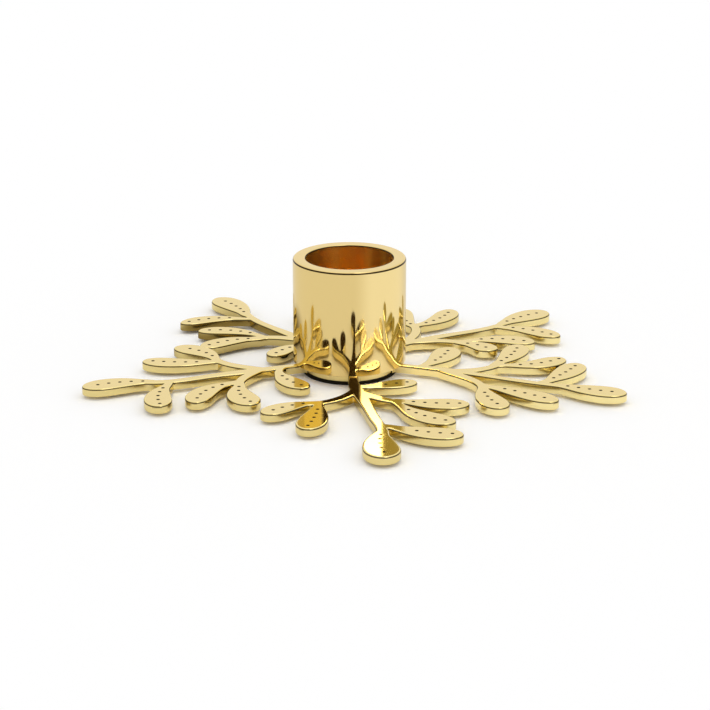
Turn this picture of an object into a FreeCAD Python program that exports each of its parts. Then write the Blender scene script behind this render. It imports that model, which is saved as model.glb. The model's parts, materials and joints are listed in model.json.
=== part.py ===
import FreeCAD, Part
import math
import os

# A candle ring: a round cup for one household candle stands on a flat metal plate, which is cut
# out as a hub disc with five branching sprigs of paddle leaves and lies on a round black pad.
# Millimetres, +Z up. The origin is on the table, on the cup's axis.

# Candle cup
candle_diameter = 22.0
candle_clearance = 0.2
cup_wall = 3.25
cup_height = 27.2
cup_floor = 4.5
rim_round = 0.5
bore_floor_round = 1.0
cup_foot_round = 0.25

# Plate: the hub disc and the sprigs, which meet it in notches under the cup
plate_thickness = 2.1
plate_edge_round = 0.4
hub_radius = 11.6
root_width = 3.0
root_length = 2.0
fork_radius = 50.0
web_round = 0.8

# Leaves and their dimples
leaf_width = 6.6
dimple_diameter = 0.9
dimple_depth = 0.9
dimple_pitch = 2.8

# Stems
trunk_width = 2.8
branch_width = 2.8
stalk_width = 2.1

# Countersunk screw from below, through the hub disc into the cup's floor
screw_diameter = 3.0
screw_head_diameter = 5.6
screw_length = 5.0
screw_clearance = 0.1
thread_run_out = 0.6
key_across = 2.0
key_depth = 0.9
key_side_count = 6

# Pad, which stands out past the hub disc by its lip
pad_lip = 0.8
pad_thickness = 0.85
pad_edge_round = 0.2

# How far every cutting tool runs past the face that it cuts
overrun = 0.5

# Corners of the outline that turn by less than this angle, in degrees, need no web, and a web
# takes no more than this share of the shorter edge beside it
smooth_angle = 4.0
web_room_share = 0.45

# Heights of the seats
plate_bottom = pad_thickness
plate_top = plate_bottom + plate_thickness

# A leaf's half width along its length: (share of the length, share of half the width)
leaf_profile_shares = (
    (0.00, 0.36),
    (0.12, 0.47),
    (0.28, 0.70),
    (0.45, 0.90),
    (0.62, 1.00),
    (0.76, 0.98),
    (0.88, 0.80),
    (0.96, 0.50),
)
leaf_root_share = 0.25

# Widths along the stems, as shares of the stem's own width
trunk_width_shares = (0.80, 0.92, 1.20, 1.00, 0.95, 0.95, 1.00)
branch_width_shares = (0.70, 1.00, 0.92, 0.88)
stalk_width_shares = (0.70, 1.00, 1.00, 1.00)

# The five sprigs. Heading is in degrees. Hand is -1 on the one that is a mirror image. Places
# are shares of fork_radius, along the heading and to its left. A leaf's row gives its root on
# the stem, its base, its tip, its bow to the left as a share of its length, its width as a
# share of leaf_width, and how far along its length its last dimple is.
sprigs = {
    "sprig_front": {
        "heading": -78.0,
        "hand": 1,
        "slim_share": 1.08,
        "trunk_shares": ((0.215, -0.024), (0.350, -0.052), (0.500, -0.058), (0.700, -0.058),
                         (0.880, -0.060), (1.020, -0.060), (1.093, -0.081)),
        "left_shares": ((0.485, -0.056), (0.590, 0.012), (0.645, 0.068), (0.684, 0.158)),
        "right_shares": ((0.435, -0.060), (0.545, -0.140), (0.597, -0.235), (0.606, -0.345)),
        "stalk_shares": ((0.375, -0.052), (0.415, -0.030), (0.428, 0.005), (0.425, 0.035)),
        "leaf_shares": (
            (0.423, -0.020, 0.428, -0.010, 0.402, 0.258, 0.000, 0.90, 0.81),
            (0.640, 0.062, 0.658, 0.113, 0.765, 0.432, -0.060, 1.06, 0.86),
            (0.645, 0.070, 0.722, 0.100, 1.000, 0.303, -0.110, 1.06, 0.86),
            (0.968, -0.058, 1.000, -0.010, 1.165, 0.299, -0.070, 1.13, 0.85),
            (1.015, -0.058, 1.045, -0.060, 1.378, -0.108, -0.080, 1.32, 0.82),
            (0.597, -0.235, 0.638, -0.287, 0.948, -0.414, 0.040, 1.10, 0.86),
            (0.597, -0.235, 0.600, -0.306, 0.706, -0.566, -0.090, 0.97, 0.77),
        ),
        "dimple_counts": (3, 5, 5, 4, 5, 5, 4),
    },
    "sprig_right_front": {
        "heading": -18.0,
        "hand": 1,
        "slim_share": 0.80,
        "trunk_shares": ((0.215, 0.000), (0.360, 0.002), (0.500, 0.000), (0.720, -0.024),
                         (0.920, -0.050), (1.080, -0.058), (1.166, -0.062)),
        "left_shares": ((0.520, -0.004), (0.660, 0.046), (0.722, 0.115), (0.749, 0.223)),
        "right_shares": ((0.485, -0.008), (0.630, -0.078), (0.725, -0.150), (0.773, -0.246)),
        "stalk_shares": ((0.335, 0.000), (0.375, 0.012), (0.396, 0.048), (0.413, 0.090)),
        "leaf_shares": (
            (0.385, 0.025, 0.395, 0.045, 0.435, 0.352, -0.080, 1.13, 0.79),
            (0.715, 0.110, 0.732, 0.175, 0.765, 0.505, -0.070, 1.07, 0.80),
            (0.715, 0.105, 0.795, 0.165, 1.034, 0.367, -0.120, 1.00, 0.90),
            (1.000, -0.053, 1.035, -0.020, 1.130, 0.305, -0.045, 1.10, 0.845),
            (1.085, -0.057, 1.115, -0.055, 1.453, -0.070, -0.030, 1.12, 0.78),
            (0.725, -0.150, 0.785, -0.180, 1.155, -0.290, 0.030, 1.03, 0.80),
            (0.725, -0.150, 0.757, -0.200, 0.935, -0.457, -0.080, 1.08, 0.80),
        ),
        "dimple_counts": (4, 5, 5, 5, 5, 5, 4),
    },
    "sprig_right_back": {
        "heading": 33.0,
        "hand": -1,
        "slim_share": 0.88,
        "trunk_shares": ((0.215, -0.040), (0.380, -0.060), (0.550, -0.062), (0.700, -0.050),
                         (0.850, -0.035), (0.970, -0.042), (1.061, -0.071)),
        "left_shares": ((0.430, -0.058), (0.570, 0.004), (0.625, 0.060), (0.656, 0.120)),
        "right_shares": ((0.385, -0.064), (0.495, -0.145), (0.570, -0.225), (0.596, -0.326)),
        "stalk_shares": ((0.315, -0.052), (0.358, -0.062), (0.374, -0.100), (0.371, -0.138)),
        "leaf_shares": (
            (0.366, -0.075, 0.372, -0.098, 0.300, -0.345, 0.080, 0.95, 0.85),
            (0.618, 0.052, 0.635, 0.095, 0.700, 0.285, -0.120, 0.95, 0.72),
            (0.622, 0.055, 0.700, 0.085, 0.960, 0.300, -0.120, 1.00, 0.835),
            (0.945, -0.043, 0.975, -0.010, 1.130, 0.289, -0.080, 0.98, 0.85),
            (0.985, -0.045, 1.010, -0.055, 1.355, -0.092, -0.060, 1.20, 0.79),
            (0.572, -0.230, 0.625, -0.283, 0.931, -0.417, 0.110, 1.00, 0.815),
            (0.565, -0.218, 0.590, -0.275, 0.715, -0.580, -0.080, 1.00, 0.80),
        ),
        "dimple_counts": (4, 3, 5, 5, 5, 5, 5),
    },
    "sprig_left_back": {
        "heading": 126.0,
        "hand": 1,
        "slim_share": 0.90,
        "trunk_shares": ((0.215, 0.005), (0.350, 0.008), (0.520, 0.012), (0.670, 0.022),
                         (0.800, 0.026), (0.910, 0.012), (0.997, -0.012)),
        "left_shares": ((0.385, 0.010), (0.505, 0.083), (0.558, 0.150), (0.586, 0.235)),
        "right_shares": ((0.385, 0.006), (0.490, -0.080), (0.550, -0.170), (0.559, -0.265)),
        "stalk_shares": ((0.270, 0.006), (0.312, 0.022), (0.333, 0.055), (0.339, 0.090)),
        "leaf_shares": (
            (0.327, 0.040, 0.335, 0.050, 0.277, 0.293, -0.100, 0.87, 0.80),
            (0.550, 0.140, 0.560, 0.190, 0.608, 0.506, -0.115, 0.95, 0.855),
            (0.548, 0.136, 0.600, 0.155, 0.853, 0.380, -0.140, 0.86, 0.835),
            (0.865, 0.020, 0.900, 0.068, 1.018, 0.383, -0.120, 0.86, 0.86),
            (0.920, 0.010, 0.948, 0.012, 1.304, -0.016, -0.070, 1.20, 0.76),
            (0.548, -0.168, 0.580, -0.200, 0.850, -0.370, 0.050, 1.00, 0.85),
            (0.546, -0.165, 0.560, -0.220, 0.650, -0.500, -0.100, 1.00, 0.80),
        ),
        "dimple_counts": (4, 5, 5, 5, 5, 5, 4),
    },
    "sprig_left_front": {
        "heading": 202.5,
        "hand": 1,
        "slim_share": 1.00,
        "trunk_shares": ((0.215, -0.015), (0.380, -0.022), (0.530, -0.024), (0.700, -0.032),
                         (0.850, -0.026), (0.985, -0.036), (1.085, -0.080)),
        "left_shares": ((0.465, -0.022), (0.575, 0.042), (0.640, 0.115), (0.668, 0.188)),
        "right_shares": ((0.455, -0.028), (0.565, -0.125), (0.620, -0.215), (0.632, -0.305)),
        "stalk_shares": ((0.335, -0.020), (0.380, 0.005), (0.402, 0.045), (0.412, 0.086)),
        "leaf_shares": (
            (0.398, 0.020, 0.403, 0.040, 0.350, 0.316, -0.100, 0.96, 0.85),
            (0.638, 0.112, 0.645, 0.145, 0.672, 0.445, -0.125, 1.13, 0.87),
            (0.622, 0.095, 0.675, 0.110, 0.935, 0.318, -0.150, 1.04, 0.83),
            (0.955, -0.032, 0.985, 0.020, 1.102, 0.302, -0.100, 1.04, 0.89),
            (1.010, -0.045, 1.035, -0.058, 1.380, -0.098, -0.090, 1.12, 0.78),
            (0.615, -0.212, 0.655, -0.235, 0.984, -0.390, 0.060, 1.00, 0.85),
            (0.618, -0.215, 0.630, -0.260, 0.770, -0.530, -0.140, 1.05, 0.73),
        ),
        "dimple_counts": (4, 5, 5, 5, 5, 5, 4),
    },
}


def place(along_share, left_share):
    """A point of a sprig in its own frame, from shares of fork_radius."""
    return FreeCAD.Vector(along_share * fork_radius, left_share * fork_radius, 0)


def left_of(direction):
    """The unit vector a quarter turn to the left of a direction."""
    return FreeCAD.Vector(-direction.y, direction.x, 0).normalize()


def smooth_curve(points):
    """A curve through points."""
    curve = Part.BSplineCurve()
    curve.interpolate(points)
    return curve


def stem_sheet(centre_shares, width_shares, width):
    """A flat stem that follows its centre line and widens or narrows along it."""
    centre = [place(*share) for share in centre_shares]
    line = smooth_curve(centre)
    left_side = []
    right_side = []
    for point, width_share in zip(centre, width_shares):
        direction = line.tangent(line.parameter(point))[0]
        half = left_of(direction) * (width * width_share / 2)
        left_side.append(point + half)
        right_side.append(point - half)
    outline = Part.Wire([
        smooth_curve(right_side).toShape(),
        Part.makeLine(right_side[-1], left_side[-1]),
        smooth_curve(left_side[::-1]).toShape(),
        Part.makeLine(left_side[0], right_side[0]),
    ])
    return Part.Face(outline)


def leaf_midline(leaf_share, share):
    """A point on a leaf's midline, and its direction there."""
    base = place(*leaf_share[2:4])
    tip = place(*leaf_share[4:6])
    bow_share = leaf_share[6]
    chord = tip - base
    side = left_of(chord) * chord.Length
    point = base + chord * share + side * (4 * bow_share * share * (1 - share))
    direction = chord + side * (4 * bow_share * (1 - 2 * share))
    return point, direction


def leaf_sheet(leaf_share):
    """A flat paddle leaf: a neck from its root on the stem, then the blade to its round tip."""
    root = place(*leaf_share[0:2])
    base = place(*leaf_share[2:4])
    tip = place(*leaf_share[4:6])
    half_width = leaf_width * leaf_share[7] / 2
    neck = left_of(base - root) * (half_width * leaf_root_share)
    left_side = [root + neck]
    right_side = [root - neck]
    for along_share, width_share in leaf_profile_shares:
        point, direction = leaf_midline(leaf_share, along_share)
        half = left_of(direction) * (half_width * width_share)
        left_side.append(point + half)
        right_side.append(point - half)
    rim = smooth_curve(right_side + [tip] + left_side[::-1])
    return Part.Face(Part.Wire([rim.toShape(), Part.makeLine(left_side[0], right_side[0])]))


def walk(wire):
    """The edges of a closed wire in order: each one's curve, start and end parameter."""
    edges = wire.OrderedEdges
    steps = []
    for index, edge in enumerate(edges):
        shared = edges[index - 1].Vertexes
        first, last = edge.ParameterRange
        start = edge.Curve.value(first)
        gap = min(start.distanceToPoint(vertex.Point) for vertex in shared)
        other_gap = min(edge.Curve.value(last).distanceToPoint(vertex.Point) for vertex in shared)
        if gap > other_gap:
            first, last = last, first
        steps.append([edge.Curve, first, last])
    return steps


def heading_at(step, parameter):
    """The unit direction in which a step of the walk passes a parameter."""
    curve, first, last = step
    direction = curve.tangent(parameter)[0]
    return direction if last > first else direction * -1


def soften_webs(face):
    """The face with a round web in each inner corner of its outline."""
    steps = walk(face.OuterWire)
    corners = []
    for index, step in enumerate(steps):
        before = steps[index - 1]
        direction_in = heading_at(before, before[2])
        direction_out = heading_at(step, step[1])
        turn = direction_in.getAngle(direction_out)
        turns_right = direction_in.cross(direction_out).z < 0
        corners.append(turn if turns_right and math.degrees(turn) > smooth_angle else 0)
    lengths = [abs(step[0].length(min(step[1:]), max(step[1:]))) for step in steps]
    cuts = []
    for index, turn in enumerate(corners):
        room = min(lengths[index - 1], lengths[index]) * web_room_share
        cuts.append(min(web_round * math.tan(turn / 2), room) if turn else 0)
    edges = []
    for index, step in enumerate(steps):
        following = (index + 1) % len(steps)
        curve, first, last = step
        sense = 1 if last > first else -1
        if cuts[index]:
            first = curve.parameterAtDistance(sense * cuts[index], first)
        if cuts[following]:
            last = curve.parameterAtDistance(-sense * cuts[following], last)
        edges.append(curve.toShape(min(first, last), max(first, last)))
        if cuts[following]:
            after, after_first, after_last = steps[following]
            after_sense = 1 if after_last > after_first else -1
            web_end = after.parameterAtDistance(after_sense * cuts[following], after_first)
            start_point = curve.value(last)
            end_point = after.value(web_end)
            reach = cuts[following] / math.tan(corners[following] / 2)
            handle = 4 / 3 * math.tan(corners[following] / 4) * reach
            web = Part.BezierCurve()
            web.setPoles([
                start_point,
                start_point + heading_at(step, last) * handle,
                end_point - heading_at(steps[following], web_end) * handle,
                end_point,
            ])
            edges.append(web.toShape())
    return Part.Face(Part.Wire(Part.__sortEdges__(edges)))


def root_sheet(sprig):
    """The straight root with which a sprig sits in its notch of the hub disc."""
    offset = sprig["trunk_shares"][0][1] * fork_radius
    corner = FreeCAD.Vector(hub_radius - root_length, offset - root_width / 2, 0)
    return Part.makePlane(root_length + overrun, root_width, corner)


def sprig_outline(sprig):
    """The flat outline of a sprig in its own frame: root, stems and leaves, with soft webs."""
    sheets = [
        root_sheet(sprig),
        stem_sheet(sprig["trunk_shares"], trunk_width_shares, trunk_width * sprig["slim_share"]),
        stem_sheet(sprig["left_shares"], branch_width_shares, branch_width),
        stem_sheet(sprig["right_shares"], branch_width_shares, branch_width),
        stem_sheet(sprig["stalk_shares"], stalk_width_shares, stalk_width),
    ]
    for leaf_share in sprig["leaf_shares"]:
        sheets.append(leaf_sheet(leaf_share))
    rise = FreeCAD.Vector(0, 0, plate_thickness)
    body = sheets[0].extrude(rise)
    for sheet in sheets[1:]:
        body = body.fuse(sheet.extrude(rise))
    body = body.removeSplitter()
    floors = [face for face in body.Faces if face.BoundBox.ZMax < plate_thickness / 2]
    return soften_webs(floors[0])


def dimple_places(leaf_share, count):
    """The dimples of a leaf, on its midline, one pitch apart, counted back from the last one."""
    chord = place(*leaf_share[4:6]) - place(*leaf_share[2:4])
    places = []
    for index in range(count):
        share = leaf_share[8] - index * dimple_pitch / chord.Length
        places.append(leaf_midline(leaf_share, share)[0])
    return places


def dimple_cutters(sprig):
    """The cones that sink a pointed dimple at every dimple's place."""
    radius = dimple_diameter / 2
    reach = dimple_depth + overrun
    cutters = []
    for leaf_share, count in zip(sprig["leaf_shares"], sprig["dimple_counts"]):
        for point in dimple_places(leaf_share, count):
            bottom = point + FreeCAD.Vector(0, 0, plate_thickness - dimple_depth)
            cutters.append(Part.makeCone(0, radius * reach / dimple_depth, reach, bottom))
    return cutters


def set_in_place(shape, sprig):
    """A shape of a sprig's own frame, turned to its heading and lifted onto the pad."""
    centre = FreeCAD.Vector(0, 0, 0)
    if sprig["hand"] < 0:
        shape = shape.mirror(centre, FreeCAD.Vector(0, 1, 0))
    shape.rotate(centre, FreeCAD.Vector(0, 0, 1), sprig["heading"])
    shape.translate(FreeCAD.Vector(0, 0, plate_bottom))
    return shape


def make_sprig(sprig):
    """A branching sprig with dimpled leaves."""
    body = sprig_outline(sprig).extrude(FreeCAD.Vector(0, 0, plate_thickness))
    body = body.cut(dimple_cutters(sprig))
    return set_in_place(body, sprig)


def make_hub_disc():
    """The plate's middle: a disc with a notch for each sprig's root and a countersunk hole."""
    disc = Part.makeCylinder(hub_radius, plate_thickness)
    rim = [edge for edge in disc.Edges if edge.BoundBox.ZMin > plate_thickness / 2]
    disc = disc.makeFillet(plate_edge_round, rim)
    disc.translate(FreeCAD.Vector(0, 0, plate_bottom))
    for sprig in sprigs.values():
        root = root_sheet(sprig).extrude(FreeCAD.Vector(0, 0, plate_thickness))
        disc = disc.cut(set_in_place(root, sprig))
    return disc.cut(screw_body(screw_clearance))


def screw_body(clearance):
    """The screw's shank and countersunk head, or with a clearance the hole that takes them."""
    shank_radius = screw_diameter / 2 + clearance
    head_radius = screw_head_diameter / 2 + clearance
    foot = FreeCAD.Vector(0, 0, plate_bottom)
    head = Part.makeCone(head_radius, shank_radius, head_radius - shank_radius, foot)
    length = screw_length + (thread_run_out if clearance else 0)
    shank = Part.makeCylinder(shank_radius, length, foot)
    return shank.fuse(head).removeSplitter()


def make_screw():
    """The countersunk screw, with the hexagonal socket for its key."""
    side_angle = 2 * math.pi / key_side_count
    corner = FreeCAD.Vector(key_across / 2 / math.cos(side_angle / 2), 0, plate_bottom - overrun)
    corners = []
    for index in range(key_side_count + 1):
        turn = FreeCAD.Rotation(FreeCAD.Vector(0, 0, 1), math.degrees(side_angle * index))
        corners.append(turn.multVec(corner))
    socket = Part.Face(Part.makePolygon(corners))
    return screw_body(0).cut(socket.extrude(FreeCAD.Vector(0, 0, key_depth + overrun)))


def make_candle_cup():
    """The round cup, with its bore for the candle and the screw's hole in its foot."""
    bore_radius = (candle_diameter + candle_clearance) / 2
    outer_radius = bore_radius + cup_wall
    cup = Part.makeCylinder(outer_radius, cup_height)
    foot = [edge for edge in cup.Edges if edge.BoundBox.ZMax < cup_height / 2]
    foot = [edge for edge in foot if len(edge.Vertexes) == 1]
    cup = cup.makeFillet(cup_foot_round, foot)
    bore_floor = FreeCAD.Vector(0, 0, cup_floor)
    bore = Part.makeCylinder(bore_radius, cup_height - cup_floor + overrun, bore_floor)
    floor_edge = [edge for edge in bore.Edges if edge.BoundBox.ZMax < cup_height / 2]
    bore = bore.makeFillet(bore_floor_round, floor_edge)
    cup = cup.cut(bore)
    rim = [edge for edge in cup.Edges if edge.BoundBox.ZMin > cup_height - rim_round]
    cup = cup.makeFillet(rim_round, rim)
    cup.translate(FreeCAD.Vector(0, 0, plate_top))
    return cup.cut(screw_body(screw_clearance))


def make_base_pad():
    """The black pad under the hub disc, which covers the screw's head."""
    pad = Part.makeCylinder(hub_radius + pad_lip, pad_thickness)
    lower_edge = [edge for edge in pad.Edges if edge.BoundBox.ZMax < pad_thickness / 2]
    return pad.makeFillet(pad_edge_round, lower_edge)


pieces = {
    "candle_cup": make_candle_cup(),
    "hub_disc": make_hub_disc(),
    "fixing_screw": make_screw(),
    "base_pad": make_base_pad(),
}
for sprig_name, sprig in sprigs.items():
    pieces[sprig_name] = make_sprig(sprig)

os.makedirs("parts", exist_ok=True)
for name, shape in pieces.items():
    state = "valid" if shape.isValid() else "NOT valid"
    print(name, len(shape.Solids), "solid", state, round(shape.Volume, 1))
    shape.exportStep("parts/" + name + ".step")
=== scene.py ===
# %% [markdown]
# A candle ring in polished gilt metal. A turned cup stands on a flat plate of branching leaf
# sprigs, over a thin black pad. The frame gives every piece at its real size and place, so this
# lesson is about two things: giving cut sheet metal believable edges, and lighting a mirror.

# %% Load the frame
import json
import math

import bpy
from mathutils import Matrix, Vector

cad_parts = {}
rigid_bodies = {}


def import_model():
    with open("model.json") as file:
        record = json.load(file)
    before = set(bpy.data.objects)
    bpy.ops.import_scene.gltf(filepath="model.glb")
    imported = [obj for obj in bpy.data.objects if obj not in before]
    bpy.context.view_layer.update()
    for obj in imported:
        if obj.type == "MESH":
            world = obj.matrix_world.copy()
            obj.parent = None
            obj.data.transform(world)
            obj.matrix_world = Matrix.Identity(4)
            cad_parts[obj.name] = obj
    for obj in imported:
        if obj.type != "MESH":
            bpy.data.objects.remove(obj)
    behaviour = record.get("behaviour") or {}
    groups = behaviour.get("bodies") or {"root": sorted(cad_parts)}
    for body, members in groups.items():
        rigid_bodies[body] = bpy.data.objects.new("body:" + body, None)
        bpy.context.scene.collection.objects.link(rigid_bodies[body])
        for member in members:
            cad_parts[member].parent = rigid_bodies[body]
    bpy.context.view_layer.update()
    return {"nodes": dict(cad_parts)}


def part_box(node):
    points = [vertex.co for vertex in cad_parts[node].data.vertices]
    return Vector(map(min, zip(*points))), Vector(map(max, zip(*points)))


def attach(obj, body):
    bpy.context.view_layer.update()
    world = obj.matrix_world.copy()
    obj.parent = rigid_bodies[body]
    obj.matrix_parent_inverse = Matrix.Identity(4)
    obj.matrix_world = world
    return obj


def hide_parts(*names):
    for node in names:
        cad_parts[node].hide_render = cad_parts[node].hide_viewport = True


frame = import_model()
nodes = frame["nodes"]
MM = 0.001
print("nodes:", sorted(nodes))

# %% [markdown]
# The camera comes first, because every later choice is judged through it. A long lens from half
# a metre away looks down on the ring at a low angle, so that the flat leaves are foreshortened
# and their thin walls show.

# %% Camera
SENSOR = 36.0
FOCAL_PIXELS = 2135.0
IMAGE_PIXELS = 710.0
CAMERA_PLACE = (1.4 * MM, -517.9 * MM, 179.1 * MM)
CAMERA_PITCH = math.radians(71.32)
CLIP_START = 0.01

bpy.ops.object.select_all(action="DESELECT")
bpy.ops.object.camera_add(location=CAMERA_PLACE, rotation=(CAMERA_PITCH, 0, 0))
camera = bpy.context.object
camera.name = "camera"
camera.data.sensor_width = SENSOR
camera.data.lens = FOCAL_PIXELS / IMAGE_PIXELS * SENSOR
camera.data.clip_start = CLIP_START
bpy.context.scene.camera = camera
print("lens:", round(camera.data.lens, 1), "mm")

# %% [markdown]
# A few short helpers do what the mouse does in the viewport. They make one object active, pick
# its faces, edges or vertices by their place, bevel the picked edges, and settle the shading.
# The last one names a finished piece and hands it to the frame.

# %% Helpers for modelling
SMOOTH_ANGLE = math.radians(35)


def activate(obj):
    bpy.ops.object.select_all(action="DESELECT")
    obj.select_set(True)
    bpy.context.view_layer.objects.active = obj


def pick(obj, kind, test):
    """Selects the faces, edges or vertices of obj that pass a test, and enters edit mode."""
    mesh = obj.data
    groups = {"VERT": mesh.vertices, "EDGE": mesh.edges, "FACE": mesh.polygons}
    for group in groups.values():
        for item in group:
            item.select = False
    count = 0
    for item in groups[kind]:
        if test(item):
            item.select = True
            count += 1
    activate(obj)
    bpy.context.tool_settings.mesh_select_mode = [name == kind for name in groups]
    bpy.ops.object.mode_set(mode="EDIT")
    return count


def leave_edit():
    bpy.ops.object.mode_set(mode="OBJECT")


def round_picked(size, segments, slide=True):
    """Bevels the picked edges. Without sliding, neighbouring edges don't shift its width."""
    bpy.ops.mesh.bevel(offset=size, segments=segments, profile=0.5, affect="EDGES",
                       loop_slide=slide)


def settle_normals(obj):
    """Smooth shading, with flat faces kept flat right up to their rounded edges."""
    activate(obj)
    bpy.ops.object.shade_smooth_by_angle(angle=SMOOTH_ANGLE)
    weigh = obj.modifiers.new("flat faces stay flat", "WEIGHTED_NORMAL")
    weigh.keep_sharp = True
    bpy.ops.object.modifier_apply(modifier=weigh.name)


def finish_piece(obj, name, slot, *replaced):
    obj.name = name
    obj.data.name = name
    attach(obj, "root")
    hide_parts(*replaced)
    print(name, len(obj.data.polygons), "faces")


print("smooth shading up to", round(math.degrees(SMOOTH_ANGLE)), "degrees")

# %% [markdown]
# The sprigs are cut from sheet metal and tumbled, so their top edges are softly rounded and the
# lower ones just broken. A bevel modifier with an angle limit would round the dimples as well,
# so the edges are picked by their place. One test finds the edges where a level face meets an
# upright wall. The other finds the sharp notches between two stems, where a bevel folds over.
# Both ask how far a face looks up, from 0 for an upright wall to 1 for a level face.

# %% Tests for the outline of the sprigs
UPRIGHT = 0.1
LEVEL = 0.9
MERGE = 0.002 * MM
NOTCH_ANGLE = math.radians(120)
plate_low, plate_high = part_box("sprig_front")


def outline_edge(mesh, height):
    """A test for the edges where a level face at a height meets an upright wall."""
    slopes_of = {}
    for face in mesh.polygons:
        for key in face.edge_keys:
            slopes_of.setdefault(key, []).append(abs(face.normal.z))

    def test(edge):
        for index in edge.vertices:
            if abs(mesh.vertices[index].co.z - height) > MERGE:
                return False
        slopes = slopes_of[edge.key]
        return len(slopes) == 2 and min(slopes) < UPRIGHT and max(slopes) > LEVEL

    return test


def notch(mesh):
    """A test for the corners of an open sheet's outline where two stems meet sharply."""
    faces_at = {}
    for face in mesh.polygons:
        for key in face.edge_keys:
            faces_at[key] = faces_at.get(key, 0) + 1
    ends = {}
    for (start, end), faces in faces_at.items():
        if faces == 1:
            ends.setdefault(start, []).append(end)
            ends.setdefault(end, []).append(start)

    def test(vertex):
        if len(ends.get(vertex.index, ())) != 2:
            return False
        one, two = (mesh.vertices[end].co - vertex.co for end in ends[vertex.index])
        return one.angle(two) < NOTCH_ANGLE

    return test


print("plate from", round(plate_low[2] / MM, 2), "to", round(plate_high[2] / MM, 2), "mm")

# %% [markdown]
# The frame has the exact outline and dimples of the sprigs, with crisp edges. They could be
# beveled as they are, but their walls are cut into small rows, which a bevel would trip over.
# So a merged copy keeps only the flat top with its dimples. Tiny jogs of its outline are merged
# and its sharp notches rounded a little, because a bevel folds over at both.

# %% Flat sheets for the sprigs
JOG = 0.12 * MM
SAME_PLANE = math.radians(0.3)
NOTCH_ROUND = 0.3 * MM
NOTCH_SEGMENTS = 6


def flat_sheet(source):
    """A copy of a sprig of the frame that keeps only its flat top and the dimples in it."""
    sheet = source.copy()
    sheet.data = source.data.copy()
    sheet.parent = None
    sheet.hide_render = False
    bpy.context.scene.collection.objects.link(sheet)
    pick(sheet, "VERT", lambda vertex: True)
    bpy.ops.mesh.remove_doubles(threshold=MERGE)
    leave_edit()
    pick(sheet, "FACE", lambda face: face.normal.z < UPRIGHT)
    bpy.ops.mesh.delete(type="FACE")
    leave_edit()
    pick(sheet, "VERT", lambda vertex: vertex.co.z > plate_high[2] - MERGE)
    bpy.ops.mesh.select_linked()
    bpy.ops.mesh.select_all(action="INVERT")
    bpy.ops.mesh.delete(type="VERT")
    bpy.ops.mesh.select_non_manifold()
    bpy.ops.mesh.remove_doubles(threshold=JOG)
    bpy.ops.mesh.select_all(action="SELECT")
    bpy.ops.mesh.dissolve_limited(angle_limit=SAME_PLANE)
    leave_edit()
    pick(sheet, "VERT", notch(sheet.data))
    bpy.ops.mesh.bevel(offset=NOTCH_ROUND, segments=NOTCH_SEGMENTS, affect="VERTICES")
    leave_edit()
    return sheet


sprigs = {}
for side in ("front", "right_front", "right_back", "left_back", "left_front"):
    sprigs[side] = flat_sheet(nodes["sprig_" + side])
    print(side, "sheet:", len(sprigs[side].data.polygons), "faces")

# %% [markdown]
# A solidify modifier could give the sheets their thickness, but it would copy the dimples to
# the underside too. Extruding just the open outline makes one clean wall, and a single face
# closes the slab below. Before that, the faces of the sheet are marked as top or as dimple by
# how far they look up, so that the dimples can carry a painted shade of their own.

# %% Walls of the sprigs
TOP, SIDE, DIMPLE = 0, 1, 2
TILTED = 0.99

for side, sprig in sprigs.items():
    for face in sprig.data.polygons:
        face.material_index = DIMPLE if face.normal.z < TILTED else TOP
    pick(sprig, "EDGE", lambda edge: False)
    bpy.ops.mesh.select_non_manifold()
    bpy.ops.mesh.extrude_region_move(
        TRANSFORM_OT_translate={"value": (0, 0, plate_low[2] - plate_high[2])})
    bpy.ops.mesh.edge_face_add()
    bpy.ops.mesh.select_all(action="SELECT")
    bpy.ops.mesh.normals_make_consistent(inside=False)
    leave_edit()
    print(side, "slab:", len(sprig.data.polygons), "faces")

# %% [markdown]
# Now the outline is rounded, the top edge more than the lower one. Small gaps that are left at
# the hidden roots are closed. The flat top has to stay a true mirror. A weighted normal alone
# still bends it a little next to the rounding, so the flat faces give their own normals to
# their corners at the end.

# %% Round the sprigs
TOP_ROUND, TOP_SEGMENTS = 0.48 * MM, 5
FOOT_ROUND, FOOT_SEGMENTS = 0.12 * MM, 2
FLAT = 0.999


def flat_top(face):
    return face.normal.z > FLAT and face.center.z > plate_high[2] - MERGE


for side, sprig in sprigs.items():
    pick(sprig, "EDGE", outline_edge(sprig.data, plate_high[2]))
    round_picked(TOP_ROUND, TOP_SEGMENTS, slide=False)
    leave_edit()
    pick(sprig, "EDGE", outline_edge(sprig.data, plate_low[2]))
    round_picked(FOOT_ROUND, FOOT_SEGMENTS, slide=False)
    bpy.ops.mesh.select_all(action="SELECT")
    bpy.ops.mesh.fill_holes(sides=0)
    leave_edit()
    settle_normals(sprig)
    pick(sprig, "FACE", flat_top)
    bpy.ops.mesh.set_normals_from_faces(keep_sharp=True)
    leave_edit()
    finish_piece(sprig, "leaf_sprig_" + side, "gilt_plate", "sprig_" + side)

# %% [markdown]
# The cup is turned from a solid bar. A drawn profile with a screw modifier would make it too,
# but the box of the frame already gives its radius and height. So it starts as a cylinder, and
# its top is inset by the wall and pushed down for the bore. A mirror shows every facet, so the
# cylinder has many sides.

# %% Candle cup
CUP_SIDES = 256
CUP_WALL = 3.25 * MM
CUP_FLOOR = 4.5 * MM
cup_low, cup_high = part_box("candle_cup")
cup_radius = (cup_high[0] - cup_low[0]) / 2
cup_height = cup_high[2] - cup_low[2]
bore_radius = cup_radius - CUP_WALL
bore_floor = cup_low[2] + CUP_FLOOR


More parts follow.
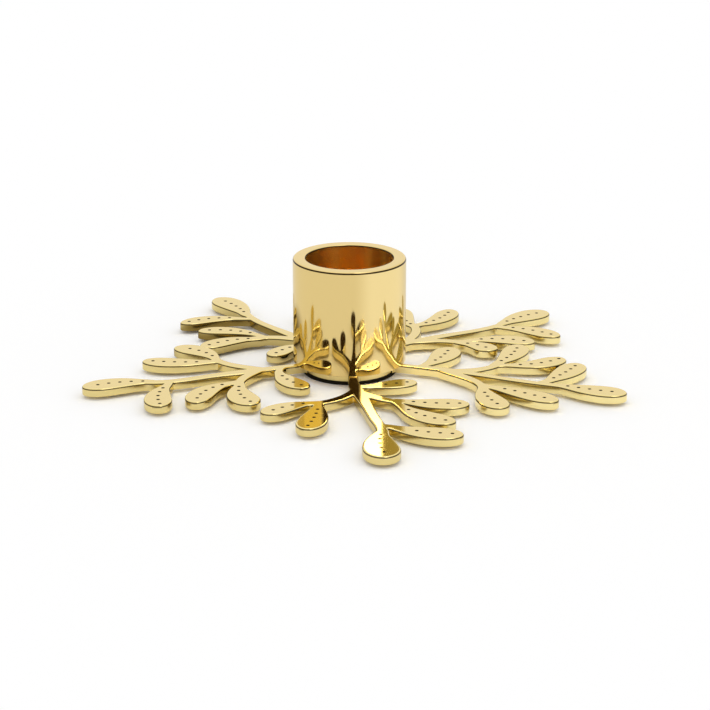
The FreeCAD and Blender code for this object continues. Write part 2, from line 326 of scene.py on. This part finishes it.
def add_cylinder(sides, radius, low, high):
    bpy.ops.mesh.primitive_cylinder_add(
        vertices=sides, radius=radius, depth=high - low, location=(0, 0, (low + high) / 2))
    bpy.ops.object.transform_apply(location=True, rotation=True, scale=True)
    return bpy.context.object


cup = add_cylinder(CUP_SIDES, cup_radius, cup_low[2], cup_high[2])
pick(cup, "FACE", lambda face: face.normal.z > LEVEL)
bpy.ops.mesh.inset(thickness=CUP_WALL)
bpy.ops.mesh.extrude_region_move(
    TRANSFORM_OT_translate={"value": (0, 0, CUP_FLOOR - cup_height)})
leave_edit()
print("cup radius:", round(cup_radius / MM, 2), "bore:", round(bore_radius / MM, 2), "mm")

# %% [markdown]
# The rim, the floor of the bore and the foot get the small rounds that a lathe tool leaves. One
# bevel modifier would make them all the same, so each ring of edges is picked by its radius and
# height and gets a round of its own.

# %% Round the cup
RIM_ROUND = 0.5 * MM
OUTER_RIM_ROUND = 0.65 * MM
FLOOR_ROUND = 1.0 * MM
CUP_FOOT_ROUND = 0.25 * MM
RING_SEGMENTS, CUP_FOOT_SEGMENTS = 6, 3
NEAR = 0.02 * MM


def radius_of(point):
    return math.hypot(point[0], point[1])


def ring_edge(mesh, radius, height):
    """A test for the edges of a ring of a radius at a height."""
    def test(edge):
        for index in edge.vertices:
            point = mesh.vertices[index].co
            if abs(radius_of(point) - radius) > NEAR or abs(point.z - height) > NEAR:
                return False
        return True
    return test


for ring_radius, ring_height, ring_round, segments in (
        (cup_radius, cup_high[2], OUTER_RIM_ROUND, RING_SEGMENTS),
        (bore_radius, cup_high[2], RIM_ROUND, RING_SEGMENTS),
        (bore_radius, bore_floor, FLOOR_ROUND, RING_SEGMENTS),
        (cup_radius, cup_low[2], CUP_FOOT_ROUND, CUP_FOOT_SEGMENTS)):
    picked = pick(cup, "EDGE", ring_edge(cup.data, ring_radius, ring_height))
    round_picked(ring_round, segments)
    leave_edit()
    print("ring of", picked, "edges rounded")
settle_normals(cup)
finish_piece(cup, "turned_cup", "polished_cup", "candle_cup")

# %% [markdown]
# The pad is a disc of black foam rubber, cut a little soft at its edges. It shows only as a dark
# crescent under the cup, and it lifts the leaves clear of the table. So a plain cylinder with
# both rings rounded is enough.

# %% Base pad
PAD_SIDES = 160
PAD_ROUND, PAD_SEGMENTS = 0.38 * MM, 3
PAD_TRIM = 0.3 * MM
pad_low, pad_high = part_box("base_pad")
pad_radius = (pad_high[0] - pad_low[0]) / 2 - PAD_TRIM
pad = add_cylinder(PAD_SIDES, pad_radius, pad_low[2], pad_high[2])
for ring_height in (pad_low[2], pad_high[2]):
    pick(pad, "EDGE", ring_edge(pad.data, pad_radius, ring_height))
    round_picked(PAD_ROUND, PAD_SEGMENTS)
    leave_edit()
settle_normals(pad)
finish_piece(pad, "foam_pad", "black_pad", "base_pad")

# %% [markdown]
# Polished metal is never perfect. Fine wiping marks change the way it scatters light, and a very
# low ripple bends its reflections. Each metal could have noise nodes of its own, but one node
# group serves them all with different values: the cup is the smoothest, and the leaves are a
# little softer.

# %% Node group for polish marks
FLOAT, VECTOR = "NodeSocketFloat", "NodeSocketVector"
GRAIN_DETAIL, SMUDGE_DETAIL = 3.0, 2.0
NOISE_MIDDLE = 0.5


def new_group(name, inputs, outputs):
    """Starts a node group. Also returns the sockets it is given and those it gives back."""
    group = bpy.data.node_groups.new(name, "ShaderNodeTree")
    for direction, sockets in (("INPUT", inputs), ("OUTPUT", outputs)):
        for label, kind in sockets:
            group.interface.new_socket(name=label, in_out=direction, socket_type=kind)
    given = group.nodes.new("NodeGroupInput").outputs
    return group, given, group.nodes.new("NodeGroupOutput").inputs


def fill(tree, socket, value):
    """Links a socket to another one, or gives it a number. A tuple is a colour."""
    if isinstance(value, bpy.types.NodeSocket):
        tree.links.new(value, socket)
    else:
        socket.default_value = (*value, 1) if isinstance(value, tuple) else value


def math_node(tree, operation, *values):
    """The result of a math node, each value either a number or a socket to link."""
    made = tree.nodes.new("ShaderNodeMath")
    made.operation = operation
    for index, value in enumerate(values):
        fill(tree, made.inputs[index], value)
    return made.outputs[0]


def noise(tree, vector, scale, detail):
    """The value of a noise texture."""
    made = tree.nodes.new("ShaderNodeTexNoise")
    for label, value in (("Vector", vector), ("Scale", scale), ("Detail", detail)):
        fill(tree, made.inputs[label], value)
    return made.outputs["Fac"]


polish, given, result = new_group(
    "polish marks",
    (("Vector", VECTOR), ("Grain Scale", FLOAT), ("Smudge Scale", FLOAT), ("Roughness", FLOAT),
     ("Variation", FLOAT)),
    (("Roughness", FLOAT), ("Height", FLOAT)))
grain = noise(polish, given["Vector"], given["Grain Scale"], GRAIN_DETAIL)
smudge = noise(polish, given["Vector"], given["Smudge Scale"], SMUDGE_DETAIL)
spread = math_node(polish, "SUBTRACT", smudge, NOISE_MIDDLE)
amount = math_node(polish, "MULTIPLY_ADD", spread, given["Variation"], given["Roughness"])
fill(polish, result["Roughness"], amount)
fill(polish, result["Height"], grain)
print(polish.name, "nodes:", len(polish.nodes))

# %% [markdown]
# Every rounded edge of the photographed ring carries a fine dark line just above the wall. It is
# the dark side of the studio, squeezed into the rounding. A dark card in the room could make it,
# but only for one view. So a second group finds that strip of the rounding from how far the
# surface looks up, and the metals darken their colour there.

# %% Node group for the edge line
EDGE_STRIP = ((0.03, 0.0), (0.12, 1.0), (0.62, 1.0), (0.76, 0.0))

edge_line, given, result = new_group(
    "edge line", (("Normal", VECTOR), ("Strength", FLOAT)), (("Mask", FLOAT),))
looks_up = edge_line.nodes.new("ShaderNodeSeparateXYZ")
strip = edge_line.nodes.new("ShaderNodeValToRGB")
stops = strip.color_ramp.elements
for index, (position, level) in enumerate(EDGE_STRIP):
    stop = stops[index] if index < 2 else stops.new(position)
    stop.position = position
    stop.color = (level, level, level, 1)
fill(edge_line, looks_up.inputs[0], given["Normal"])
fill(edge_line, strip.inputs["Fac"], looks_up.outputs["Z"])
mask = math_node(edge_line, "MULTIPLY", strip.outputs["Color"], given["Strength"])
fill(edge_line, result["Mask"], mask)
print(edge_line.name, "stops:", [round(stop.position, 2) for stop in stops])

# %% [markdown]
# The gilt is a pale gold. Metal takes its whole colour from its base colour, so that colour is
# judged where the photograph shows a plain white reflection. One gold for all came close, but
# the tops, the sides and the cup were each matched on their own. The sides' gold is a little
# brighter than the tops', which is painted light for the brighter walls. The sides and the cup
# carry the edge line, a painted dark reflection. The hidden screw is assumed to be plain steel.

# %% Metal materials
TOP_GOLD = (0.90, 0.735, 0.355)
# the gilt of the sides, brightened a little as painted light for the brighter walls
BRIGHTENED_SIDE_GOLD = (0.92, 0.77, 0.36)
CUP_GOLD = (0.89, 0.70, 0.32)
STEEL = (0.6, 0.6, 0.6)
LINE_COLOUR = (0.045, 0.026, 0.006)


def new_material(name):
    material = bpy.data.materials.new(name)
    material.use_nodes = True
    return material, material.node_tree, material.node_tree.nodes["Principled BSDF"]


def place_in(tree):
    """The place on the object, for the noise of a material."""
    return tree.nodes.new("ShaderNodeTexCoord").outputs["Object"]


def mix_colours(tree, factor, when_no, when_yes):
    """Goes from one colour to another as the factor goes from 0 to 1."""
    mix = tree.nodes.new("ShaderNodeMix")
    mix.data_type = "RGBA"
    for label, value in (("Factor", factor), ("A", when_no), ("B", when_yes)):
        fill(tree, mix.inputs[label], value)
    return mix.outputs["Result"]


def metal(name, colour, roughness, variation, grain_scale, smudge_scale, bump, line=0.0):
    material, tree, shader = new_material(name)
    marks = tree.nodes.new("ShaderNodeGroup")
    marks.node_tree = polish
    relief = tree.nodes.new("ShaderNodeBump")
    for socket, value in (
            (marks.inputs["Vector"], place_in(tree)),
            (marks.inputs["Grain Scale"], grain_scale),
            (marks.inputs["Smudge Scale"], smudge_scale),
            (marks.inputs["Roughness"], roughness),
            (marks.inputs["Variation"], variation),
            (relief.inputs["Strength"], 1.0),
            (relief.inputs["Distance"], bump),
            (relief.inputs["Height"], marks.outputs["Height"]),
            (shader.inputs["Roughness"], marks.outputs["Roughness"]),
            (shader.inputs["Normal"], relief.outputs["Normal"]),
            (shader.inputs["Base Color"], colour),
            (shader.inputs["Metallic"], 1.0)):
        fill(tree, socket, value)
    if line:
        facing = tree.nodes.new("ShaderNodeNewGeometry")
        edge = tree.nodes.new("ShaderNodeGroup")
        edge.node_tree = edge_line
        fill(tree, edge.inputs["Strength"], line)
        fill(tree, edge.inputs["Normal"], facing.outputs["Normal"])
        tint = mix_colours(tree, edge.outputs["Mask"], colour, LINE_COLOUR)
        fill(tree, shader.inputs["Base Color"], tint)
    print(material.name, "nodes:", len(tree.nodes))
    return material


gilt_top = metal("polished gilt leaf top", TOP_GOLD, roughness=0.075, variation=0.04,
                 grain_scale=3500, smudge_scale=70, bump=0.0012 * MM)
gilt_side = metal("polished gilt leaf side", BRIGHTENED_SIDE_GOLD, roughness=0.09, variation=0.05,
                  grain_scale=3500, smudge_scale=70, bump=0.001 * MM, line=0.9)
cup_metal = metal("polished cup metal", CUP_GOLD, roughness=0.06, variation=0.03,
                  grain_scale=5000, smudge_scale=50, bump=0.0004 * MM, line=1.0)
steel = metal("plain screw steel", STEEL, roughness=0.3, variation=0.05,
              grain_scale=4000, smudge_scale=80, bump=0.001 * MM)

# %% [markdown]
# Each dimple is a small deep hollow that shows as a dark point, and that shade is painted into
# its colour. Plain black would look like a stuck-on dot, so a noise goes between two dark
# browns, and the painted shade is dull beside the mirror around it.

# %% Painted shade in the dimples
# painted shade of the deep dimples: a noise goes between these two dark browns
DIMPLE_SHADE_DARK, DIMPLE_SHADE_LIGHT = (0.004, 0.002, 0.0005), (0.06, 0.035, 0.01)
DIMPLE_SHADE_SCALE, DIMPLE_SHADE_DETAIL, DIMPLE_ROUGHNESS = 900, 2, 0.6
DULL_SPECULAR = 0.1


def shade_by(tree, value, dark, light, start=0.0, end=1.0):
    """Goes from a dark shade to a light one as a value goes from start to end."""
    tint = tree.nodes.new("ShaderNodeValToRGB")
    for stop, position, colour in zip(tint.color_ramp.elements, (start, end), (dark, light)):
        stop.position = position
        stop.color = (*colour, 1)
    fill(tree, tint.inputs["Fac"], value)
    return tint.outputs["Color"]


dimple_shade_material, dimple_tree, dimple_shader = new_material("painted dimple shade")
dimple_shade_noise = noise(dimple_tree, place_in(dimple_tree), DIMPLE_SHADE_SCALE, DIMPLE_SHADE_DETAIL)
dimple_tint = shade_by(dimple_tree, dimple_shade_noise, DIMPLE_SHADE_DARK, DIMPLE_SHADE_LIGHT)
fill(dimple_tree, dimple_shader.inputs["Base Color"], dimple_tint)
fill(dimple_tree, dimple_shader.inputs["Roughness"], DIMPLE_ROUGHNESS)
fill(dimple_tree, dimple_shader.inputs["Specular IOR Level"], DULL_SPECULAR)
print(dimple_shade_material.name, "nodes:", len(dimple_tree.nodes))

# %% [markdown]
# The bore is bare and satin, and soft light and dark bands run along it, which are painted
# reflections of the room. A wave texture would make them too even. So it is one more metal, and
# a noise stretched along the axis takes the place of its plain colour.

# %% Bore metal
BORE_GOLD = (0.85, 0.5, 0.12)
# painted reflection bands: the noise goes between these two shades of the bore's colour
BORE_REFLECTION_DARK, BORE_REFLECTION_LIGHT = (0.86, 0.50, 0.09), (1.0, 0.74, 0.26)
BORE_START, BORE_END = 0.36, 0.64
REFLECTION_BAND_STRETCH = (1, 1, 0.06)
REFLECTION_BAND_SCALE, REFLECTION_BAND_DETAIL = 230, 2

bore_metal = metal("satin bore metal", BORE_GOLD, roughness=0.26, variation=0.08,
                   grain_scale=2500, smudge_scale=90, bump=0.002 * MM)
bore_tree = bore_metal.node_tree
stretch = bore_tree.nodes.new("ShaderNodeMapping")
stretch.inputs["Scale"].default_value = REFLECTION_BAND_STRETCH
fill(bore_tree, stretch.inputs["Vector"], place_in(bore_tree))
reflection_bands = noise(bore_tree, stretch.outputs["Vector"], REFLECTION_BAND_SCALE, REFLECTION_BAND_DETAIL)
bore_tint = shade_by(bore_tree, reflection_bands, BORE_REFLECTION_DARK, BORE_REFLECTION_LIGHT, BORE_START, BORE_END)
fill(bore_tree, bore_tree.nodes["Principled BSDF"].inputs["Base Color"], bore_tint)
print(bore_metal.name, "with its bands, nodes:", len(bore_tree.nodes))

# %% [markdown]
# The pad is black rubber with a fine grain. Real bumps would need a dense mesh for a strip that
# is hardly seen, so one noise gives both the wandering shade and a very low relief.

# %% Pad rubber
RUBBER_DARK, RUBBER_LIGHT = (0.003, 0.002, 0.001), (0.02, 0.016, 0.010)
RUBBER_SCALE, RUBBER_DETAIL, RUBBER_ROUGHNESS = 3000, 4, 0.8
RUBBER_RELIEF = 0.02 * MM

pad_material, pad_tree, pad_shader = new_material("black foam rubber")
pad_grain = noise(pad_tree, place_in(pad_tree), RUBBER_SCALE, RUBBER_DETAIL)
pad_relief = pad_tree.nodes.new("ShaderNodeBump")
fill(pad_tree, pad_relief.inputs["Distance"], RUBBER_RELIEF)
fill(pad_tree, pad_relief.inputs["Height"], pad_grain)
pad_tint = shade_by(pad_tree, pad_grain, RUBBER_DARK, RUBBER_LIGHT)
fill(pad_tree, pad_shader.inputs["Base Color"], pad_tint)
fill(pad_tree, pad_shader.inputs["Normal"], pad_relief.outputs["Normal"])
fill(pad_tree, pad_shader.inputs["Roughness"], RUBBER_ROUGHNESS)
fill(pad_tree, pad_shader.inputs["Specular IOR Level"], DULL_SPECULAR)
print(pad_material.name, "nodes:", len(pad_tree.nodes))

# %% [markdown]
# Now the pieces get their finishes. On a sprig, the faces that were marked before the rounding
# keep their kind, and a face marked as top that is tilted now belongs to the side. In the cup,
# the faces inside the bore and below the rounding of the rim are bare metal.


# %% Put the finishes on
def dress(obj, *materials):
    obj.data.materials.clear()
    for material in materials:
        obj.data.materials.append(material)


for sprig in sprigs.values():
    faces = sprig.data.polygons
    kinds = [face.material_index for face in faces]
    dress(sprig, gilt_top, gilt_side, dimple_shade_material)
    for face, kind in zip(faces, kinds):
        face.material_index = SIDE if kind == TOP and face.normal.z < TILTED else kind
    kinds = [face.material_index for face in faces]
    counts = [kinds.count(kind) for kind in (TOP, SIDE, DIMPLE)]
    print(sprig.name, "top, side and dimple faces:", counts)
dress(nodes["hub_disc"], gilt_side)
dress(nodes["fixing_screw"], steel)
dress(pad, pad_material)
dress(cup, cup_metal, bore_metal)
POLISHED, BARE = 0, 1
bore_faces = 0
for face in cup.data.polygons:
    middle = face.center
    inside = radius_of(middle) < bore_radius + NEAR and middle.z < cup_high[2] - RIM_ROUND
    face.material_index = BARE if inside else POLISHED
    bore_faces += inside
print("bore faces:", bore_faces)

# %% [markdown]
# The floor is a large pale sheet. It takes the object's shadow and shows in the metal, and the
# camera sees it as white because its colour, not the light, is lifted for camera rays.

# %% Floor
FLOOR_SIZE = 6.0
bpy.ops.mesh.primitive_plane_add(size=FLOOR_SIZE, location=(0, 0, 0))
floor = bpy.context.object
floor.name = "floor"
print("floor:", FLOOR_SIZE, "m wide")

# %% [markdown]
# A mirror shows its room, so the room is the look. Lamps and cards could be built around the
# object, but they would also light it and cast shadows. So every patch of the room is painted:
# a soft-edged panel, given by its azimuth and elevation as seen from the object. Azimuth 0 is
# toward the camera, and it grows to the right. One node group makes the mask of such a panel,
# and both the floor and the world use it.

# %% Node group for a panel of the room
PANEL_ANGLES = ("Azimuth", "Elevation", "Half Width", "Half Height", "Softness")


def edge_mask(tree, value, centre, half, softness, wraps):
    """1 where value is within half of centre, falling smoothly to 0 across the softness."""
    away = math_node(tree, "SUBTRACT", value, centre)
    if wraps:
        away = math_node(tree, "WRAP", away, math.pi, -math.pi)
    away = math_node(tree, "ABSOLUTE", away)
    ramp = tree.nodes.new("ShaderNodeMapRange")
    ramp.interpolation_type = "SMOOTHSTEP"
    fill(tree, ramp.inputs["Value"], away)
    fill(tree, ramp.inputs["From Min"], math_node(tree, "ADD", half, softness))
    fill(tree, ramp.inputs["From Max"], math_node(tree, "SUBTRACT", half, softness))
    return ramp.outputs["Result"]


panel, given, result = new_group(
    "room panel", (("Vector", VECTOR), *((label, FLOAT) for label in PANEL_ANGLES)),
    (("Mask", FLOAT),))
axes = panel.nodes.new("ShaderNodeSeparateXYZ")
fill(panel, axes.inputs[0], given["Vector"])
toward_viewer = math_node(panel, "MULTIPLY", axes.outputs["Y"], -1.0)
azimuth = math_node(panel, "ARCTAN2", axes.outputs["X"], toward_viewer)
elevation = math_node(panel, "ARCSINE", axes.outputs["Z"])
across = edge_mask(panel, azimuth, given["Azimuth"], given["Half Width"], given["Softness"],
                   wraps=True)
up = edge_mask(panel, elevation, given["Elevation"], given["Half Height"], given["Softness"],
               wraps=False)
fill(panel, result["Mask"], math_node(panel, "MULTIPLY", across, up))


def add_panel(tree, vector, below, colour, middle, half_size, softness):
    """Lays a panel of a colour over what is below it. Angles are in degrees."""
    made = tree.nodes.new("ShaderNodeGroup")
    made.node_tree = panel
    fill(tree, made.inputs["Vector"], vector)
    for label, angle in zip(PANEL_ANGLES, (*middle, *half_size, softness)):
        fill(tree, made.inputs[label], math.radians(angle))
    return mix_colours(tree, made.outputs["Mask"], below, colour)


print(panel.name, "nodes:", len(panel.nodes))

# %% [markdown]
# The camera sees a white floor with the object's shadow. The metal sees the same floor a little
# darker and warmer, with a painted pool of lamp light on the right, where the soft lamp of the
# room stands. Behind the cup on the left, a dark round patch is a painted shadow on the floor,
# and the walls there mirror it for their depth. It is painted for the metal only, so the camera
# doesn't see it.

# %% Floor finish
FLOOR_COLOUR = (0.83, 0.80, 0.72)
WHITE = (1.0, 1.0, 1.0)
# painted pool of lamp light on the floor to the right, seen only in the metal
PAINTED_LIGHT_MIDDLE, PAINTED_LIGHT_HALF_SIZE, PAINTED_LIGHT_SOFTNESS = (76, 0), (50, 20), 20
# painted shadow: a dark round patch on the floor behind the left sprigs, seen only in the metal
PAINTED_SHADOW_COLOUR = (0.26, 0.21, 0.11)
PAINTED_SHADOW_PLACE = (-36 * MM, 24 * MM, 0)
PAINTED_SHADOW_RADIUS, PAINTED_SHADOW_SOFTNESS = 18 * MM, 12 * MM
FLOOR_ROUGHNESS = 0.9

floor_material, floor_tree, floor_shader = new_material("pale floor")
floor_rays = floor_tree.nodes.new("ShaderNodeLightPath")
floor_spot = place_in(floor_tree)
floor_away = floor_tree.nodes.new("ShaderNodeVectorMath")
floor_away.operation = "NORMALIZE"
fill(floor_tree, floor_away.inputs[0], floor_spot)
floor_tint = add_panel(floor_tree, floor_away.outputs["Vector"], FLOOR_COLOUR, WHITE,
                       PAINTED_LIGHT_MIDDLE, PAINTED_LIGHT_HALF_SIZE, PAINTED_LIGHT_SOFTNESS)
painted_shadow_distance = floor_tree.nodes.new("ShaderNodeVectorMath")
painted_shadow_distance.operation = "DISTANCE"
fill(floor_tree, painted_shadow_distance.inputs[0], floor_spot)
painted_shadow_distance.inputs[1].default_value = PAINTED_SHADOW_PLACE
painted_shadow_mask = edge_mask(floor_tree, painted_shadow_distance.outputs["Value"], 0.0, PAINTED_SHADOW_RADIUS, PAINTED_SHADOW_SOFTNESS,
                      wraps=False)
floor_tint = mix_colours(floor_tree, painted_shadow_mask, floor_tint, PAINTED_SHADOW_COLOUR)
floor_shown = mix_colours(floor_tree, floor_rays.outputs["Is Camera Ray"], floor_tint, WHITE)
fill(floor_tree, floor_shader.inputs["Base Color"], floor_shown)
fill(floor_tree, floor_shader.inputs["Roughness"], FLOOR_ROUGHNESS)
fill(floor_tree, floor_shader.inputs["Specular IOR Level"], 0.0)
dress(floor, floor_material)
print(floor_material.name, "nodes:", len(floor_tree.nodes))

# %% [markdown]
# What the metal mirrors directly is a pale room with a bright ceiling and a soft lamp to the
# right of the camera. The trunk in front of the cup is different. It mirrors the cup, and the
# cup mirrors the viewer's side of the studio, which is dark but for the lamp. One room for both
# would turn the plate black from behind, so that second mirroring gets a room of its own. A ray
# that reaches the world has a depth of 2 when it was mirrored once and of 3 when it was
# mirrored twice, so the switch lies between them. Each panel below has its colour, the azimuth
# and elevation of its middle, its half width and half height, and its softness.

# %% Room
ROOM_COLOUR = (0.95, 0.94, 0.92)
ONCE_PANELS = (
    ((0.92, 0.88, 0.78), (0, 10), (190, 34), 8),            # walls all around
    ((1.08, 1.06, 1.0), (0, 90), (190, 26), 8),             # ceiling
    ((3.2, 3.2, 3.1), (46, 62), (24, 18), 4))               # lamp
TWICE_PANELS = (
    ((0.78, 0.76, 0.69), (180, 20), (75, 24), 8),           # pale wall behind the object
    ((0.64, 0.56, 0.26), (-112, 20), (50, 30), 12),         # warm wall on the left
    ((0.96, 0.86, 0.34), (-84, 49.5), (24, 30), 1.5),       # brighter patch above it
    ((0.03, 0.018, 0.006), (-18, 16), (40, 16), 4),         # dark side of the viewer
    ((0.04, 0.025, 0.008), (35, 6), (75, 11), 3),           # dark strip low on the right
    ((0.42, 0.40, 0.19), (106, 26), (34, 20), 8),           # dim wall on the right
    ((8.5, 8.5, 8.5), (47, 51), (23, 31), 1.2))             # lamp
MIRRORED_TWICE = 2.5

world = bpy.data.worlds.new("studio room")
world.use_nodes = True
bpy.context.scene.world = world
room = world.node_tree
room.nodes.clear()
look = room.nodes.new("ShaderNodeTexCoord").outputs["Generated"]


def room_colour(panels):
    """The colour of the room with its panels laid over it, the last one on top."""
    shown = ROOM_COLOUR
    for colour, middle, half_size, softness in panels:
        shown = add_panel(room, look, shown, colour, middle, half_size, softness)
    return shown


rays = room.nodes.new("ShaderNodeLightPath")
second = math_node(room, "GREATER_THAN", rays.outputs["Ray Depth"], MIRRORED_TWICE)
mirrored = mix_colours(room, second, room_colour(ONCE_PANELS), room_colour(TWICE_PANELS))
air = room.nodes.new("ShaderNodeBackground")
out = room.nodes.new("ShaderNodeOutputWorld")
air_colour = mix_colours(room, rays.outputs["Is Glossy Ray"], WHITE, mirrored)
fill(room, air.inputs["Color"], air_colour)
fill(room, air.inputs["Strength"], 1.0)
fill(room, out.inputs["Surface"], air.outputs["Background"])
print("room nodes:", len(room.nodes))

# %% [markdown]
# The Standard view shows each colour as it is written, so the metal can be matched with the
# photograph.

# %% View
bpy.context.scene.view_settings.view_transform = "Standard"
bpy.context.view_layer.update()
